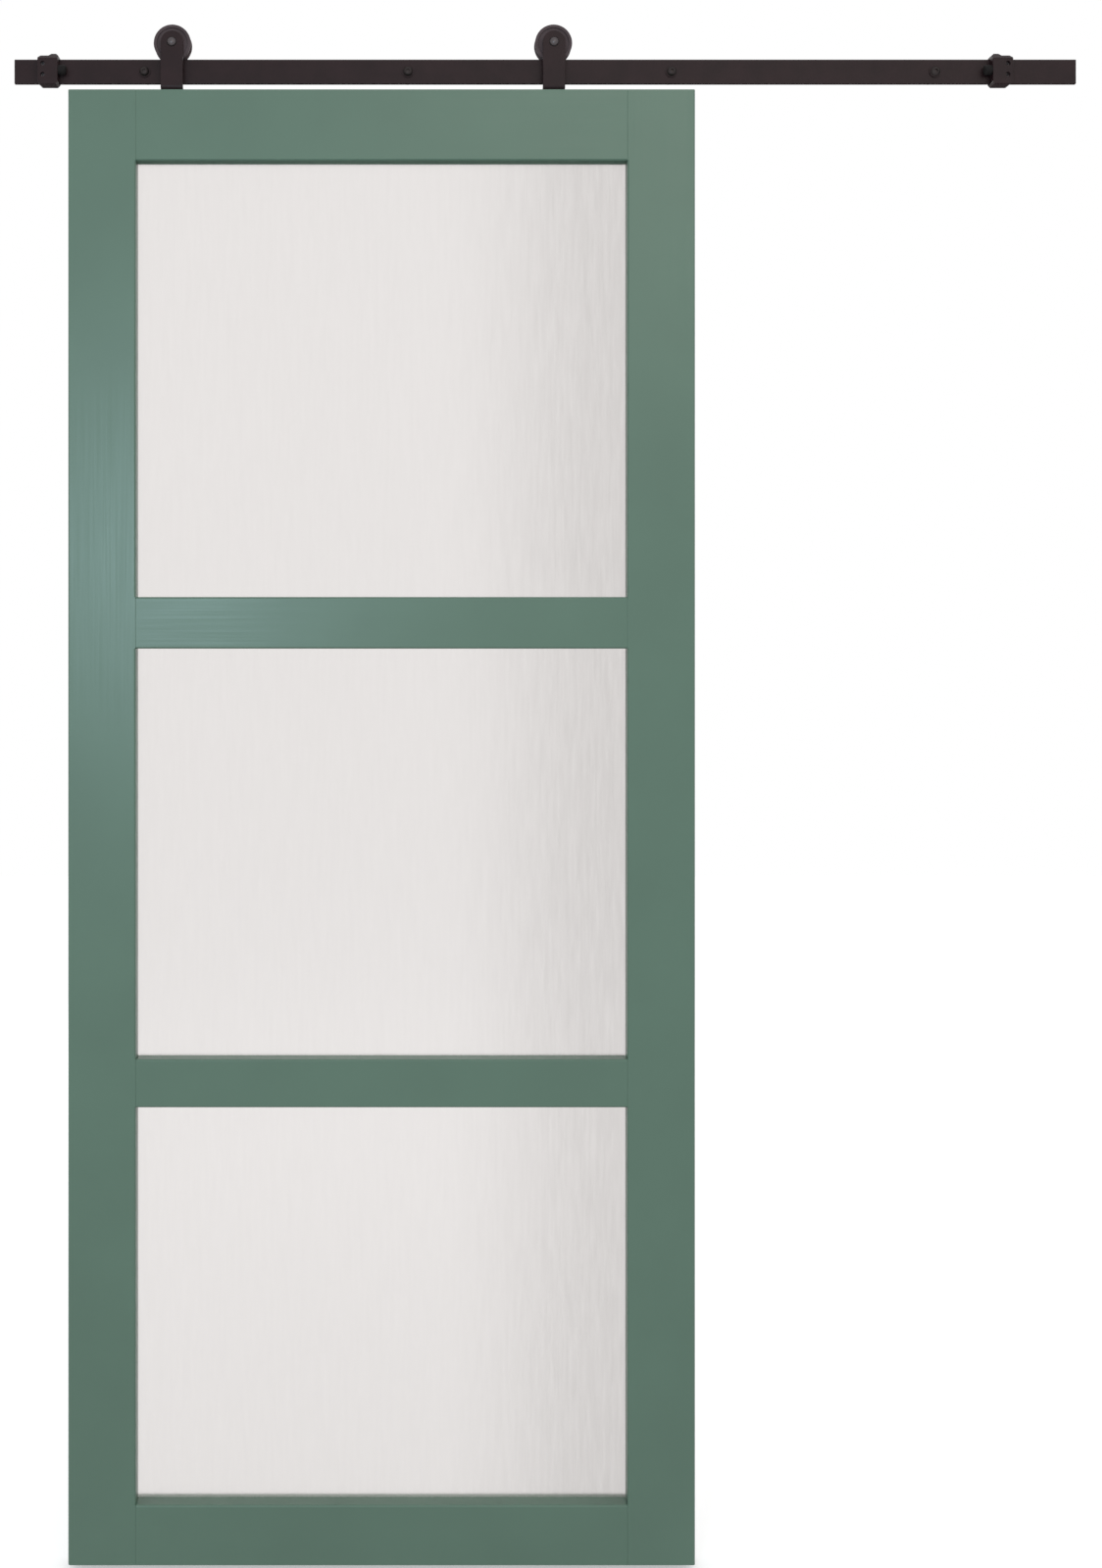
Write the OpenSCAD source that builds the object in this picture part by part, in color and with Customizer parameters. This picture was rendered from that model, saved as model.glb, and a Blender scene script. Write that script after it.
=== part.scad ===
// Glazed sliding door, hung by two wheel hangers from a flat-bar track.
// The origin lies on the wall plane, at the middle of the row of wall screws.
// X runs along the track to the right, Y into the wall, Z up. All sizes in millimetres.

/* [Leaf] */
// Width of the leaf
leaf_w = 900; // [700:1:1200]
// Thickness of the leaf
leaf_t = 44; // [40:1:56]
// Width of each stile
stile_w = 97; // [75:1:120]
// Height of the top rail
top_rail_h = 102; // [80:1:160]
// Height of the upper middle rail
mid_rail_upper_h = 74; // [60:1:120]
// Height of the lower middle rail
mid_rail_lower_h = 69; // [60:1:120]
// Height of the bottom rail
bottom_rail_h = 86; // [60:1:220]
// Height of the upper pane between its rails
upper_pane_h = 627; // [300:1:800]
// Height of the middle pane between its rails
middle_pane_h = 590; // [300:1:800]
// Height of the lower pane between its rails
lower_pane_h = 571; // [300:1:800]
// Chamfer that eases the edges of the timber
arris = 2; // [0.5:0.5:4]

/* [Joinery] */
// Thickness of the tenons
tenon_t = 14; // [8:0.5:16]
// Reach of a tenon into its stile
tenon_len = 55; // [30:1:65]
// Step from the rebate to the cheek of a tenon
tenon_step = 4; // [2:0.5:8]
// Play of a tenon in its mortise, on each side
tenon_play = 0.2; // [0.05:0.05:0.5]
// Room for glue at the end of a tenon
tenon_end_room = 2; // [0.5:0.5:5]

/* [Glazing] */
// Depth of the glass behind the front of the leaf
reveal = 24; // [15:0.5:26]
// Thickness of the glass
glass_t = 5; // [4:0.5:8]
// Width of the rebate that holds the glass
rebate_w = 10; // [8:0.5:14]
// Play around the edge of the glass, and height of its setting blocks
glass_play = 2; // [1:0.5:4]
// Distance of the glazing beads back from the edge of their opening
bead_setback = 3; // [0:0.5:3.5]
// Splay on the back edge of the glazing beads
bead_splay = 4; // [1:0.5:6]
// Diameter of the bead pins
pin_d = 1.6; // [1:0.1:2.5]
// Length of the bead pins
pin_len = 25; // [15:1:28]
// Distance of the outer pins from the ends of a bead
pin_inset = 60; // [30:5:120]
// Play of a pin in its hole, on each side
pin_play = 0.05; // [0.01:0.01:0.2]
// Length of a setting block
block_len = 60; // [30:5:100]
// Distance of a setting block from the side of its pane
block_inset = 120; // [60:5:180]

/* [Track] */
// Length of the track
track_len = 1535; // [1400:1:2400]
// Height of the track
track_h = 35; // [32:0.5:50]
// Thickness of the track
track_t = 6; // [5:0.5:10]
// Distance of the first wall screw from the left end
first_fixing = 188; // [120:1:260]
// Pitch of the wall screws
fixing_pitch = 381; // [300:1:406]

/* [Wall fixing] */
// Length of the wall spacers
spacer_len = 30; // [30:1:60]
// Diameter of the wall spacers
spacer_d = 18; // [14:0.5:18.5]
// Outside diameter of the thread of the wall screws
lag_d = 8; // [6:0.5:9]
// Rise of that thread above the plain shank
lag_thread_rise = 0.5; // [0.3:0.1:0.8]
// Reach of a wall screw into the wall
lag_reach = 22; // [20:1:90]
// Length of the pointed end of a wall screw
lag_point = 8; // [4:1:14]
// Diameter of the head of a wall screw
lag_head_d = 14; // [12:0.5:15.5]
// Height of the head of a wall screw
lag_head_h = 4.5; // [3:0.5:7]
// Width of the key socket in a wall screw, across its flats
lag_key = 5; // [3:0.5:5.5]
// Depth of the key socket in a wall screw
lag_key_depth = 2.5; // [1:0.5:2.5]
// Diameter of the washers under the wall screws
lag_washer_d = 17; // [16:0.5:18]
// Thickness of the washers under the wall screws
lag_washer_t = 1.6; // [1:0.1:2.5]
// Play of a wall screw in its holes, on each side
lag_play = 0.3; // [0.1:0.1:0.8]

/* [Hanging] */
// Distance of the leaf's left edge from the left end of the track
leaf_inset = 81; // [60:0.5:400]
// Gap from the track down to the leaf
hang_gap = 13.5; // [10:0.5:30]
// Distance of the left hanger from the left edge of the leaf
hanger_left_inset = 148; // [140:0.5:250]
// Distance of the right hanger from the right edge of the leaf
hanger_right_inset = 202; // [140:0.5:300]

/* [Wheel] */
// Diameter of the tread
tread_d = 43; // [36:0.5:70]
// Height of the flanges beside the tread
flange_h = 5.2; // [4:0.1:6.4]
// Play of the track in the groove, on each side
groove_play = 1; // [0.5:0.1:2]
// Run of each sloping side of the groove
groove_slope = 2; // [0:0.5:4]
// Thickness of a flange at its rim
flange_tip = 4; // [2:0.5:6]
// Gap between the tread and the track
roll_gap = 0.3; // [0.1:0.05:0.5]
// Width of the rim ring on the faces of the wheel
rim_ring = 4.5; // [2:0.5:5]
// Depth of the dished face inside the rim ring
dish_depth = 2; // [0.5:0.5:4]
// Wall of the hub around the bearing
hub_wall = 3.5; // [2.5:0.5:4]

/* [Bearing] */
// Outer diameter of the bearing
bearing_od = 22; // [21:0.5:24]
// Width of the bearing
bearing_w = 7; // [6:0.5:8]
// Diameter of the balls
ball_d = 3.97; // [3.5:0.01:4.2]
// Number of balls
ball_count = 7; // [6:1:7]
// Gap between the two rings
ring_gap = 2.9; // [2.4:0.1:3.2]
// Running play of the balls, on each side
ball_play = 0.03; // [0.02:0.01:0.06]
// Thickness of the cage
cage_t = 1.5; // [1:0.1:1.6]
// Width of the cage
cage_w = 4.6; // [3:0.1:5]
// Play of the rings in the wheel and on the axle, on each side
ring_play = 0.02; // [0.01:0.01:0.05]
// Thickness of the circlip
circlip_t = 1; // [0.8:0.1:1.5]
// Depth of the circlip's groove in the wheel
circlip_groove = 0.7; // [0.5:0.1:1]
// Width of the circlip's ring
circlip_ring = 1.8; // [1:0.1:2]
// Opening between the ends of the circlip
circlip_mouth = 5; // [3:0.5:8]

/* [Hanger] */
// Width of the strap
strap_w = 32; // [28:0.5:40]
// Thickness of the strap
strap_t = 5; // [4:0.5:5]
// Inner radius of the bend at the foot
bend_r = 3; // [2:0.5:5]
// Depth of the foot, from the front of the strap
foot_len = 36; // [34:0.5:38]
// Gap between the strap and the wheel or the screw heads
strap_gap = 2; // [1:0.5:4]
// Diameter of the axle bolt
axle_d = 8; // [6:0.5:8.5]
// Diameter of the axle bolt's head
axle_head_d = 14; // [12:0.5:20]
// Height of the axle bolt's head
axle_head_h = 5; // [3:0.5:7]
// Play of the axle bolt in the strap, on each side
axle_play = 0.2; // [0.05:0.05:0.4]
// Diameter of the sleeves beside the bearing
sleeve_d = 11.5; // [10.5:0.1:12]
// Reach of the back sleeve past the wheel
sleeve_out = 1.5; // [1:0.5:2.5]
// Diameter of the axle washer
axle_washer_d = 16; // [14:0.5:20]
// Thickness of the axle washer
axle_washer_t = 1.6; // [1:0.1:2]
// Width of the axle nut across its flats
nut_flats = 13; // [11:0.5:15]
// Height of the axle nut
nut_h = 6.5; // [4:0.5:7]
// Reach of the axle bolt past its nut
axle_out = 2.4; // [1:0.1:3]
// Diameter of the foot screws
foot_screw_d = 5; // [4:0.5:6]
// Length of the foot screws
foot_screw_len = 50; // [30:1:70]
// Length of the pointed end of a foot screw
foot_screw_point = 6; // [3:1:10]
// Diameter of the countersunk heads of the foot screws
foot_head_d = 10; // [8:0.5:12]
// Height of the cone of a countersunk head
foot_head_h = 2.8; // [2:0.1:3.2]
// Spacing of the foot screws
foot_screw_pitch = 16; // [14:0.5:18]
// Play of a foot screw, on each side
foot_screw_play = 0.1; // [0.05:0.05:0.3]

/* [Stops] */
// Distance of the left stop from the left end of the track
stop_left_inset = 36; // [20:1:45]
// Distance of the right stop from the right end of the track
stop_right_inset = 96; // [20:1:200]
// Length of the low part of a stop
stop_low_len = 15; // [12:0.5:30]
// Length of the high collar of a stop
stop_collar_len = 14; // [12:0.5:25]
// Wall of a stop above the track at its low part
stop_low_rise = 3; // [1.5:0.5:6]
// Step from the low part of a stop up to its collar
stop_collar_step = 3.5; // [2:0.5:6]
// Wall of a stop below the track
stop_drop = 4; // [1.5:0.5:8]
// Wall of a stop in front of the track
stop_front_wall = 15; // [13:0.5:17]
// Wall of a stop behind the track
stop_back_wall = 3.5; // [3:0.5:10]
// Chamfer on the corners of a stop
stop_chamfer = 3.5; // [1:0.5:4]
// Slope on the top front edge of a stop, at its low part
stop_slope = 5; // [2:0.5:6]
// Play of a stop on the track
stop_play = 0.2; // [0.1:0.05:0.4]
// Diameter of the bumper
bumper_d = 14; // [10:0.5:14.5]
// Length of the bumper
bumper_len = 11; // [9:0.5:20]
// Round on the end of the bumper
bumper_round = 3; // [1:0.5:4]
// Diameter of the bumper's stem
stem_d = 6; // [4:0.5:8]
// Length of the bumper's stem
stem_len = 9; // [5:0.5:11]
// Play of the bumper's stem in its bore, on each side
stem_play = 0.05; // [0.01:0.01:0.1]
// Diameter of the stop screws
set_screw_d = 6; // [4:0.5:7]
// Length of the stop screws
set_screw_len = 10; // [6:0.5:12]
// Spacing of the two screws of a stop
set_screw_pitch = 16; // [12:0.5:20]
// Width of the key socket in a stop screw, across its flats
set_screw_key = 3; // [2:0.5:3]
// Depth of the key socket in a stop screw
set_screw_key_depth = 3; // [2:0.5:4]
// Play of a stop screw in its hole, on each side
set_screw_play = 0.05; // [0.01:0.01:0.1]

/* [Hidden] */
$fn = 64;
// Overlap of a cut past the face that it opens
cut = 1;
// Sides of a hexagon
HEX = 6;

LEFT = 0;
RIGHT = 1;
UPPER = 0;
MIDDLE = 1;
LOWER = 2;
// Edges of a pane, as turns about Y from the top edge
TOP = 0;
RIGHT_EDGE = 90;
BOTTOM = 180;
LEFT_EDGE = 270;
EDGES = [TOP, RIGHT_EDGE, BOTTOM, LEFT_EDGE];
PANES = [UPPER, MIDDLE, LOWER];
SIDES = [LEFT, RIGHT];

paint_green = [0.40, 0.50, 0.43];
glass_white = [0.90, 0.90, 0.89];
glass_alpha = 0.8;
steel_black = [0.20, 0.17, 0.17];
steel_bright = [0.70, 0.70, 0.72];
rubber_black = [0.08, 0.08, 0.08];

// Track, in its own place
FIXING_COUNT = 4;
fixing_x = [for (i = [0 : FIXING_COUNT - 1]) (i - (FIXING_COUNT - 1) / 2) * fixing_pitch];
track_left = fixing_x[0] - first_fixing;
track_right = track_left + track_len;
track_top = track_h / 2;
// The wall's face, which carries the spacers
wall_face = 0;
track_back = wall_face - spacer_len;
track_mid = track_back - track_t / 2;
track_front = track_back - track_t;

// Leaf, centred on the plane of the track
sight_w = leaf_w - 2 * stile_w;
leaf_h = top_rail_h + upper_pane_h + mid_rail_upper_h + middle_pane_h
    + mid_rail_lower_h + lower_pane_h + bottom_rail_h;
leaf_left = track_left + leaf_inset;
leaf_right = leaf_left + leaf_w;
leaf_mid = leaf_left + leaf_w / 2;
leaf_top = -track_top - hang_gap;
leaf_bottom = leaf_top - leaf_h;
leaf_front = track_mid - leaf_t / 2;
leaf_back = track_mid + leaf_t / 2;
glass_front = leaf_front + reveal;
glass_back = glass_front + glass_t;
pane_h = [upper_pane_h, middle_pane_h, lower_pane_h];
upper_pane_top = leaf_top - top_rail_h;
middle_pane_top = upper_pane_top - upper_pane_h - mid_rail_upper_h;
lower_pane_top = middle_pane_top - middle_pane_h - mid_rail_lower_h;
pane_top = [upper_pane_top, middle_pane_top, lower_pane_top];

// Wheels and hangers
tread_r = tread_d / 2;
flange_r = tread_r + flange_h;
groove_half = track_t / 2 + groove_play;
wheel_w = 2 * (groove_half + groove_slope + flange_tip);
axle_z = track_top + roll_gap + tread_r;
lag_front = track_front - lag_washer_t - lag_head_h;
strap_back = min(track_mid - wheel_w / 2, lag_front) - strap_gap;
strap_front = strap_back - strap_t;
hanger_x = [leaf_left + hanger_left_inset, leaf_right - hanger_right_inset];
bend_y = strap_back + bend_r;
bend_z = leaf_top + strap_t + bend_r;
foot_back = strap_front + foot_len;
foot_screw_y = (bend_y + foot_back) / 2;

// Bearing and what stands beside it on the axle, in a frame whose Z points to the front
axle_r = axle_d / 2;
bearing_r = bearing_od / 2;
pitch_r = (axle_r + bearing_r) / 2;
race_r = ball_d / 2 + ball_play;
inner_shoulder_r = pitch_r - ring_gap / 2;
outer_shoulder_r = pitch_r + ring_gap / 2;
front_sleeve_len = track_mid - bearing_w / 2 - strap_back;
back_sleeve_len = wheel_w / 2 - bearing_w / 2 + sleeve_out;
axle_washer_front = track_mid + bearing_w / 2 + back_sleeve_len;
nut_front = axle_washer_front + axle_washer_t;
axle_back = nut_front + nut_h + axle_out;

// Stops, in a frame whose X points from the stop to the door
stop_len = stop_low_len + stop_collar_len;
stop_x = [track_left + stop_left_inset, track_right - stop_right_inset];
stop_front = track_front - stop_front_wall;
stop_back = track_back + stop_back_wall;
stop_low = track_top + stop_low_rise;
stop_high = stop_low + stop_collar_step;
stop_base = track_top + stop_drop;
bumper_y = track_front - stop_front_wall / 2;

// Extrudes a (Y, Z) outline along X, centred on X = 0
module along_x(len) {
    rotate([90, 0, 90])
        linear_extrude(len, center = true)
            children();
}

// Extrudes an (X, Z) outline along Y
module along_y(y0, y1) {
    translate([0, y1, 0])
        rotate([90, 0, 0])
            linear_extrude(y1 - y0)
                children();
}

// Turns a piece that is built along Z so that its Z points to the front
module to_front(y) {
    translate([0, y, 0])
        rotate([90, 0, 0])
            children();
}

// Turns a piece that is built along Z so that its Z points into the wall
module to_wall(y) {
    translate([0, y, 0])
        rotate([-90, 0, 0])
            children();
}

// Round tube that stands on Z = 0
module tube(outer_d, inner_d, h) {
    difference() {
        cylinder(d = outer_d, h = h);
        translate([0, 0, -cut])
            cylinder(d = inner_d, h = h + 2 * cut);
    }
}

// Domed screw head that stands on Z = 0
module dome(d, h) {
    cap_r = (d * d / 4 + h * h) / (2 * h);
    rotate_extrude()
        intersection() {
            translate([0, h - cap_r])
                circle(r = cap_r);
            square([d / 2, h]);
        }
}

// Hexagonal prism of a given width across its flats
module hex_prism(flats, h) {
    cylinder(d = flats / cos(180 / HEX), h = h, $fn = HEX);
}

// Puts a piece at each wall screw
module at_fixings() {
    for (x = fixing_x)
        translate([x, 0, 0])
            children();
}

module rail_track() {
    color(steel_black)
        difference() {
            translate([track_left, track_front, -track_top])
                cube([track_len, track_t, track_h]);
            at_fixings()
                to_wall(track_front - cut)
                    cylinder(d = lag_d + 2 * lag_play, h = track_t + 2 * cut);
        }
}

module wall_spacer(i) {
    color(steel_black)
        translate([fixing_x[i], 0, 0])
            to_wall(track_back)
                tube(spacer_d, lag_d + 2 * lag_play, spacer_len);
}

module wall_washers() {
    color(steel_black)
        at_fixings()
            to_front(track_front)
                tube(lag_washer_d, lag_d + 2 * lag_play, lag_washer_t);
}

module wall_screws() {
    head_y = track_front - lag_washer_t;
    point_y = wall_face + lag_reach - lag_point;
    color(steel_black)
        at_fixings() {
            to_front(head_y)
                difference() {
                    dome(lag_head_d, lag_head_h);
                    translate([0, 0, lag_head_h - lag_key_depth])
                        hex_prism(lag_key, lag_key_depth + cut);
                }
            to_wall(head_y)
                cylinder(d = lag_d - 2 * lag_thread_rise, h = wall_face - head_y);
            to_wall(wall_face)
                cylinder(d = lag_d, h = point_y - wall_face);
            to_wall(point_y)
                cylinder(d1 = lag_d, d2 = 0, h = lag_point);
        }
}

// Puts a piece at a stop, with its X pointing from the stop to the door
module at_stop(side) {
    translate([stop_x[side], 0, 0])
        mirror([side, 0, 0])
            children();
}

// Puts a piece at each screw of a stop, with its Z pointing out to the front
module at_stop_screws() {
    for (end = [-1, 1])
        translate([stop_low_len / 2, 0, end * set_screw_pitch / 2])
            to_front(track_front)
                children();
}

// Side outline of a stop: low part, high collar, chamfered corners
module stop_outline() {
    polygon([
        [0, stop_chamfer - stop_base],
        [stop_chamfer, -stop_base],
        [stop_len - stop_chamfer, -stop_base],
        [stop_len, stop_chamfer - stop_base],
        [stop_len, stop_high - stop_chamfer],
        [stop_len - stop_chamfer, stop_high],
        [stop_low_len + stop_collar_step, stop_high],
        [stop_low_len, stop_low],
        [stop_chamfer, stop_low],
        [0, stop_low - stop_chamfer],
    ]);
}

// Wedge that slopes the top front edge of a stop
module stop_wedge() {
    reach = stop_slope + stop_collar_step + 2 * cut;
    translate([stop_len / 2, stop_front - cut, stop_low - stop_slope - cut])
        along_x(stop_len + 2 * cut)
            polygon([[0, 0], [reach, reach], [0, reach]]);
}

module stop_body(side) {
    color(steel_black)
        at_stop(side)
            difference() {
                along_y(stop_front, stop_back)
                    stop_outline();
                stop_wedge();
                translate([-cut, track_front - stop_play, -track_top - stop_play])
                    cube([stop_len + 2 * cut, track_t + stop_play, track_h + 2 * stop_play]);
                translate([stop_len - stem_len, bumper_y, 0])
                    rotate([0, 90, 0])
                        cylinder(d = stem_d + 2 * stem_play, h = stem_len + cut);
                at_stop_screws()
                    cylinder(d = set_screw_d + 2 * set_screw_play, h = stop_front_wall + cut);
            }
}

module stop_bumper(side) {
    color(rubber_black)
        at_stop(side)
            translate([stop_len, bumper_y, 0])
                rotate([0, 90, 0]) {
                    translate([0, 0, -stem_len])
                        cylinder(d = stem_d, h = stem_len);
                    rotate_extrude() {
                        square([bumper_d / 2, bumper_len - bumper_round]);
                        square([bumper_d / 2 - bumper_round, bumper_len]);
                        intersection() {
                            translate([bumper_d / 2 - bumper_round, bumper_len - bumper_round])
                                circle(r = bumper_round);
                            square([bumper_d / 2, bumper_len]);
                        }
                    }
                }
}

module stop_screws() {
    color(steel_black)
        for (side = SIDES)
            at_stop(side)
                at_stop_screws()
                    difference() {
                        cylinder(d = set_screw_d, h = set_screw_len);
                        translate([0, 0, set_screw_len - set_screw_key_depth])
                            hex_prism(set_screw_key, set_screw_key_depth + cut);
                    }
}

// Puts a piece at the middle of the leaf's width
module on_leaf() {
    translate([leaf_mid, 0, 0])
        children();
}

// Half of a pane's opening, from its middle to the named edge
function edge_reach(pane, edge) = (edge == TOP || edge == BOTTOM) ? pane_h[pane] / 2 : sight_w / 2;

// Half of the length of the named edge
function edge_half(pane, edge) = (edge == TOP || edge == BOTTOM) ? sight_w / 2 : pane_h[pane] / 2;

// Puts a piece at an edge of a pane: X runs along the edge, Z out of the pane into the timber
module on_edge(pane, edge) {
    translate([0, 0, pane_top[pane] - pane_h[pane] / 2])
        rotate([0, edge, 0])
            translate([0, 0, edge_reach(pane, edge)])
                children();
}

// Puts a piece at each bead pin of an edge, with its Z pointing into the timber
module at_pins(pane, edge) {
    reach = edge_half(pane, edge) - pin_inset;
    on_edge(pane, edge)
        for (x = [-reach, 0, reach])
            translate([x, (glass_back + leaf_back) / 2, bead_setback])
                children();
}

// Holes of the bead pins of one edge
module pin_holes(pane, edge) {
    at_pins(pane, edge)
        translate([0, 0, -cut])
            cylinder(d = pin_d + 2 * pin_play, h = pin_len + pin_play + cut);
}

// Box of a tenon through the whole width of a rail, or of its mortise with play added
module tenon_box(z0, z1, reach, play) {
    translate([-sight_w / 2 - reach, track_mid - tenon_t / 2 - play, z0 + rebate_w + tenon_step - play])
        cube([
            sight_w + 2 * reach,
            tenon_t + 2 * play,
            z1 - z0 - 2 * (rebate_w + tenon_step) + 2 * play
        ]);
}

module mortise(z0, z1) {
    tenon_box(z0, z1, tenon_len + tenon_end_room, tenon_play);
}

// Chamfer along the front edge of a stile beside a pane
module pane_arris(pane) {
    on_edge(pane, LEFT_EDGE)
        along_x(pane_h[pane])
            polygon([[leaf_front, 0], [leaf_front + arris, 0], [leaf_front, arris]]);
}

// Left stile, about the middle of the leaf; the right one is its mirror image
module stile() {
    outer = -leaf_w / 2;
    inner = -sight_w / 2;
    difference() {
        translate([0, 0, leaf_bottom])
            linear_extrude(leaf_h)
                polygon([
                    [outer, leaf_front + arris],
                    [outer + arris, leaf_front],
                    [inner, leaf_front],
                    [inner, glass_front],
                    [inner - rebate_w, glass_front],
                    [inner - rebate_w, leaf_back],
                    [outer + arris, leaf_back],
                    [outer, leaf_back - arris],
                ]);
        mortise(upper_pane_top, leaf_top);
        mortise(middle_pane_top, middle_pane_top + mid_rail_upper_h);
        mortise(lower_pane_top, lower_pane_top + mid_rail_lower_h);
        mortise(leaf_bottom, leaf_bottom + bottom_rail_h);
        for (pane = PANES) {
            pane_arris(pane);
            pin_holes(pane, LEFT_EDGE);
        }
    }
}

module stile_left() {
    color(paint_green)
        on_leaf()
            stile();
}

module stile_right() {
    color(paint_green)
        on_leaf()
            mirror([1, 0, 0])
                stile();
}

// Rail from z0 up to z1, rebated and eased along the edges that hold glass
module rail(z0, z1, glass_below, glass_above) {
    ease_below = glass_below ? arris : 0;
    ease_above = glass_above ? arris : 0;
    step_below = glass_below ? rebate_w : 0;
    step_above = glass_above ? rebate_w : 0;
    along_x(sight_w)
        polygon([
            [leaf_front, z0 + ease_below],
            [leaf_front + ease_below, z0],
            [glass_front, z0],
            [glass_front, z1],
            [leaf_front + ease_above, z1],
            [leaf_front, z1 - ease_above],
        ]);
    along_x(sight_w + 2 * rebate_w)
        translate([glass_front, z0 + step_below])
            square([leaf_back - glass_front, z1 - z0 - step_below - step_above]);
    tenon_box(z0, z1, tenon_len, 0);
}

module top_rail() {
    color(paint_green)
        difference() {
            on_leaf()
                difference() {
                    rail(upper_pane_top, leaf_top, true, false);
                    pin_holes(UPPER, TOP);
                }
            for (side = SIDES)
                at_foot_screws(side)
                    foot_screw_shape(foot_screw_play);
        }
}

// Middle rail between two panes
module mid_rail(above, below, h) {
    color(paint_green)
        on_leaf()
            difference() {
                rail(pane_top[below], pane_top[below] + h, true, true);
                pin_holes(above, BOTTOM);
                pin_holes(below, TOP);
            }
}

module bottom_rail() {
    color(paint_green)
        on_leaf()
            difference() {
                rail(leaf_bottom, leaf_bottom + bottom_rail_h, false, true);
                pin_holes(LOWER, BOTTOM);
            }
}

module glass(pane) {
    cover = rebate_w - glass_play;
    w = sight_w + 2 * cover;
    h = pane_h[pane] + 2 * cover;
    color(glass_white, glass_alpha)
        on_leaf()
            translate([-w / 2, glass_front, pane_top[pane] + cover - h])
                cube([w, glass_t, h]);
}

module setting_blocks() {
    reach = sight_w / 2 - block_inset;
    color(rubber_black)
        on_leaf()
            for (pane = PANES)
                on_edge(pane, BOTTOM)
                    for (x = [-reach, reach])
                        translate([x - block_len / 2, glass_front, rebate_w - glass_play])
                            cube([block_len, glass_t, glass_play]);
}

// Mitred glazing bead with a splayed back edge
module bead(pane, edge) {
    half = edge_half(pane, edge);
    color(paint_green)
        on_leaf()
            difference() {
                on_edge(pane, edge)
                    intersection() {
                        along_x(2 * (half + rebate_w))
                            polygon([
                                [glass_back, bead_setback],
                                [leaf_back - bead_splay, bead_setback],
                                [leaf_back, bead_setback + bead_splay],
                                [leaf_back, rebate_w],
                                [glass_back, rebate_w],
                            ]);
                        along_y(glass_back, leaf_back)
                            polygon([
                                [-half, 0],
                                [half, 0],
                                [half + rebate_w, rebate_w],
                                [-half - rebate_w, rebate_w],
                            ]);
                    }
                pin_holes(pane, edge);
            }
}

module bead_pins() {
    color(steel_bright)
        on_leaf()
            for (pane = PANES, edge = EDGES)
                at_pins(pane, edge)
                    cylinder(d = pin_d, h = pin_len);
}

// Puts a piece at a hanger
module at_hanger(side) {
    translate([hanger_x[side], 0, 0])
        children();
}

// Puts a piece at the axle of a hanger, at a given Y, with its Z pointing to the front
module at_axle(side, y) {
    at_hanger(side)
        translate([0, 0, axle_z])
            to_front(y)
                children();
}

// Puts a piece at each foot screw of a hanger, on top of the foot
module at_foot_screws(side) {
    at_hanger(side)
        for (end = [-1, 1])
            translate([end * foot_screw_pitch / 2, foot_screw_y, leaf_top + strap_t])
                children();
}

// Countersunk screw whose head is flush with Z = 0, grown by some play
module foot_screw_shape(play) {
    shank = foot_screw_len - foot_screw_point;
    translate([0, 0, -foot_head_h])
        cylinder(d1 = foot_screw_d + 2 * play, d2 = foot_head_d + 2 * play, h = foot_head_h);
    translate([0, 0, -shank])
        cylinder(d = foot_screw_d + 2 * play, h = shank - foot_head_h);
    translate([0, 0, -foot_screw_len - play])
        cylinder(d1 = 0, d2 = foot_screw_d + 2 * play, h = foot_screw_point + play);
}

module foot_screws() {
    color(steel_black)
        for (side = SIDES)
            at_foot_screws(side)
                foot_screw_shape(0);
}

// Side outline of a hanger: upright strap, bend and foot
module bracket_side() {
    translate([strap_front, bend_z])
        square([strap_t, axle_z + strap_w / 2 - bend_z]);
    translate([bend_y, leaf_top])
        square([foot_back - bend_y, strap_t]);
    intersection() {
        translate([bend_y, bend_z])
            difference() {
                circle(r = bend_r + strap_t);
                circle(r = bend_r);
            }
        translate([strap_front, leaf_top])
            square(bend_r + strap_t);
    }
}

module hanger_bracket(side) {
    color(steel_black)
        difference() {
            at_hanger(side)
                intersection() {
                    along_x(strap_w)
                        bracket_side();
                    along_y(strap_front, foot_back) {
                        translate([0, axle_z])
                            circle(d = strap_w);
                        translate([-strap_w / 2, leaf_top])
                            square([strap_w, axle_z - leaf_top]);
                    }
                }
            at_axle(side, strap_back + cut)
                cylinder(d = axle_d + 2 * axle_play, h = strap_t + 2 * cut);
            at_foot_screws(side)
                foot_screw_shape(foot_screw_play);
        }
}

module hanger_axle(side) {
    color(steel_black) {
        at_axle(side, strap_front)
            dome(axle_head_d, axle_head_h);
        at_axle(side, axle_back)
            cylinder(d = axle_d, h = axle_back - strap_front);
    }
}

module hanger_front_sleeve(side) {
    color(steel_bright)
        at_axle(side, strap_back + front_sleeve_len)
            tube(sleeve_d, axle_d + 2 * ring_play, front_sleeve_len);
}

module hanger_back_sleeve(side) {
    color(steel_bright)
        at_axle(side, axle_washer_front)
            tube(sleeve_d, axle_d + 2 * ring_play, back_sleeve_len);
}

module axle_washers() {
    color(steel_black)
        for (side = SIDES)
            at_axle(side, nut_front)
                tube(axle_washer_d, axle_d + 2 * axle_play, axle_washer_t);
}

module axle_nuts() {
    color(steel_black)
        for (side = SIDES)
            at_axle(side, nut_front + nut_h)
                difference() {
                    hex_prism(nut_flats, nut_h);
                    translate([0, 0, -cut])
                        cylinder(d = axle_d + 2 * ring_play, h = nut_h + 2 * cut);
                }
}

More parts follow.
